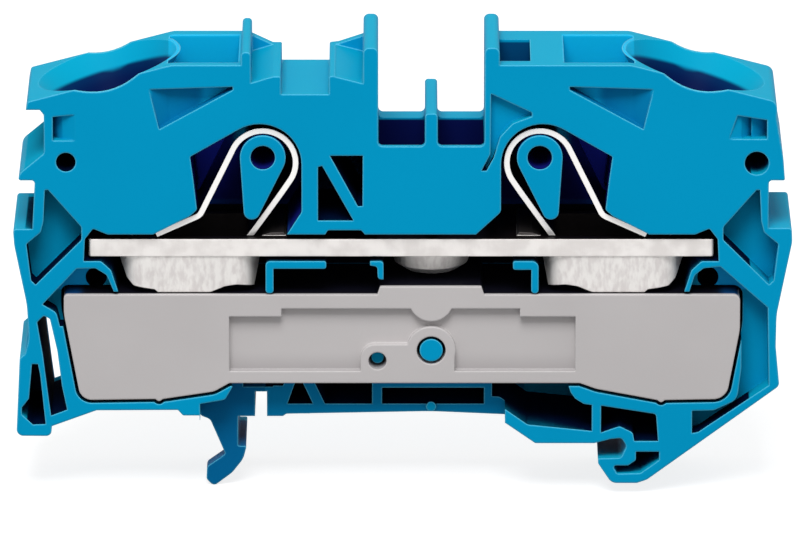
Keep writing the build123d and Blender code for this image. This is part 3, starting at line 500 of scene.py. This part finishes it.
def strip_line(centre):
    """Middle line of a spring with its legs to the right: retaining tail, knee, bend, foot.

    The bend is an arc that both legs touch. The knee is an arc that touches both of its runs,
    with its hub on the line that halves the corner, at radius / sin(half the corner) from it.
    """
    tail = centre + (TAIL_OUT, -TAIL_DROP)
    knee = centre + (KNEE_OUT, -KNEE_DROP)
    foot = centre + (FOOT_OUT, -FOOT_DROP)
    first = touch_angle(centre, BEND_RADIUS, knee, 1)
    last = touch_angle(centre, BEND_RADIUS, foot, -1)
    bend = arc(centre, BEND_RADIUS, first, last + 2 * math.pi, 72)
    outwards = (tail - knee) / np.hypot(*(tail - knee))
    upwards = (bend[0] - knee) / np.hypot(*(bend[0] - knee))
    half = math.acos(outwards @ upwards) / 2
    back = KNEE_BEND / math.tan(half)
    middle = outwards + upwards
    hub = knee + middle / np.hypot(*middle) * KNEE_BEND / math.sin(half)
    enter = knee + outwards * back - hub
    leave = knee + upwards * back - hub
    start = math.atan2(enter[1], enter[0])
    turn = (math.atan2(leave[1], leave[0]) - start + math.pi) % (2 * math.pi) - math.pi
    corner = arc(hub, KNEE_BEND, start, start + turn, 10)
    return np.vstack([tail, corner, bend, foot])


def finer(line, longest):
    """The same line, with each run that is above the longest length divided evenly."""
    pieces = []
    for start, end in zip(line[:-1], line[1:]):
        count = max(1, math.ceil(np.hypot(*(end - start)) / longest))
        pieces.append(start + (end - start) * np.arange(count)[:, None] / count)
    return np.vstack([*pieces, line[-1:]])


def strip_section(width):
    """Rectangle across a strip, a quarter circle in each corner: (offset from its line, place on Y)."""
    angles = np.linspace(0, math.pi / 2, 5)
    corner = STRIP_EDGE * np.stack([np.cos(angles), np.sin(angles)], axis=1)
    inner = np.array([STRIP_THICKNESS / 2 - STRIP_EDGE, width / 2 - STRIP_EDGE])
    turns = [np.array([[1, 0], [0, 1]]), np.array([[0, -1], [1, 0]])]
    turns += [-turns[0], -turns[1]]
    sides = [(1, 1), (-1, 1), (-1, -1), (1, -1)]
    return np.vstack([corner @ turn.T + inner * side for turn, side in zip(turns, sides)])


def spring_strip(name, joint, node, side):
    """Spring strip: its section carried along its middle line, square to it at every point.

    Its front edge draws back towards the foot, whose end is cut level above the bar.
    """
    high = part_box(node)[1]
    centre = np.array([side * joint["pos_m"][0], joint["pos_m"][2] - BEND_DROP])
    line = finer(strip_line(centre), LONGEST_RUN)
    along = np.gradient(line, axis=0)
    along /= np.linalg.norm(along, axis=1)[:, None]
    square = np.stack([-along[:, 1], along[:, 0]], axis=1)
    square[-1] = (-1 / along[-1, 1], 0)
    section = strip_section(high.y - STRIP_FRONT)
    flat = line[:, None, :] + square[:, None, :] * section[None, :, :1]
    to_foot = np.hypot(*(line - line[-1]).T)
    drawn_back = (FOOT_FRONT - STRIP_FRONT) * np.clip(1 - to_foot / FOOT_TAPER, 0, 1)
    drawn_back[: len(line) // 2] = 0  # only on the clamping leg
    front = section[None, :, 1:] < 0
    depth = section[None, :, 1:] + (STRIP_FRONT + high.y) / 2 + front * drawn_back[:, None, None]
    grid = np.concatenate([side * flat[..., :1], depth, flat[..., 1:]], axis=-1)
    if side > 0:
        grid = grid[:, ::-1]
    return mesh_object(name, grid)


def add_springs(material):
    """Replaces both CAD springs by strips that bend between the block and the clamp."""
    for side, word in ((-1, "left"), (1, "right")):
        joint = next(j for j in frame["joints"] if j["child"] == f"{word}_clamp")
        node = f"{word}_clamping_spring"
        strip = spring_strip(f"{word}_spring_strip", joint, node, side)
        dress(strip, material)
        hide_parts(node)
        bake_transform(strip)


def pale_floor():
    """White floor that keeps the shadow; it looks white to the camera without lighting the block."""
    finish = Finish("pale_floor")
    seen = finish.node("ShaderNodeLightPath", output="Is Camera Ray")
    shiny = finish.node("ShaderNodeLightPath", output="Is Glossy Ray")
    through = finish.node("ShaderNodeLightPath", output="Is Transmission Ray")
    share = seen.most(shiny).most(through)
    return finish.wear({
        "Base Color": (FLOOR_GREY, FLOOR_GREY, FLOOR_GREY, 1),
        "Roughness": 0.9,
        "Specular IOR Level": 0.1,
        "Emission Color": finish.mix(share, (0, 0, 0, 1), (1, 1, 1, 1)),
        "Emission Strength": FLOOR_GLOW,
    })


def studio():
    """Pale floor, white room, and one large soft box above and in front."""
    half = FLOOR_SIZE / 2
    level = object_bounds()[0].z - FLOOR_GAP
    corners = [(-half, -half, level), (half, -half, level), (half, half, level), (-half, half, level)]
    data = bpy.data.meshes.new("floor")
    data.from_pydata(corners, [], [(0, 1, 2, 3)])
    floor = bpy.data.objects.new("floor", data)
    bpy.context.scene.collection.objects.link(floor)
    dress(floor, pale_floor())
    floor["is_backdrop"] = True

    world = bpy.data.worlds.new("studio_room")
    bpy.context.scene.world = world
    world.use_nodes = True
    room = Shading(world.node_tree)
    seen = room.node("ShaderNodeLightPath", output="Is Camera Ray")
    shiny = room.node("ShaderNodeLightPath", output="Is Glossy Ray")
    inputs = {"Value": seen.most(shiny), "To Min": WORLD_LIGHT, "To Max": 1.0}
    background = world.node_tree.nodes["Background"]
    room.feed(background.inputs["Color"], (1, 1, 1, 1))
    room.feed(background.inputs["Strength"], room.node("ShaderNodeMapRange", inputs=inputs))
    soft_box()


def soft_box():
    """Square area light, turned to the middle of the block."""
    data = bpy.data.lights.new("soft_box", "AREA")
    data.shape = "SQUARE"
    data.size = LAMP_SIZE
    data.energy = LAMP_POWER
    lamp = bpy.data.objects.new("soft_box", data)
    bpy.context.scene.collection.objects.link(lamp)
    low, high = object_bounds()
    lamp.location = LAMP_PLACE
    lamp.rotation_mode = "QUATERNION"
    lamp.rotation_quaternion = ((low + high) / 2 - lamp.location).to_track_quat("-Z", "Y")


def photo_camera():
    """Long lens, a little above the block and square to its front."""
    data = bpy.data.cameras.new("photo_camera")
    data.sensor_fit = "HORIZONTAL"
    data.sensor_width = SENSOR
    data.lens = FOCAL_PIXELS / PICTURE_WIDTH * SENSOR
    data.clip_start = CLIP_START
    data.clip_end = CLIP_END
    camera = bpy.data.objects.new("photo_camera", data)
    bpy.context.scene.collection.objects.link(camera)
    x, y, z = CAMERA_AIM
    camera.location = (
        x,
        y - CAMERA_DISTANCE * math.cos(CAMERA_ELEVATION),
        z + CAMERA_DISTANCE * math.sin(CAMERA_ELEVATION),
    )
    camera.rotation_euler = (math.pi / 2 - CAMERA_ELEVATION, 0, 0)
    bpy.context.scene.camera = camera


photo_camera()
bpy.context.scene.view_settings.view_transform = "Standard"
dress(frame["nodes"]["housing"], blue_polyamide())
dress(frame["nodes"]["filler"], grey_polyamide())
dress(frame["nodes"]["current_bar"], tinned_copper())
add_springs(spring_steel())
studio()
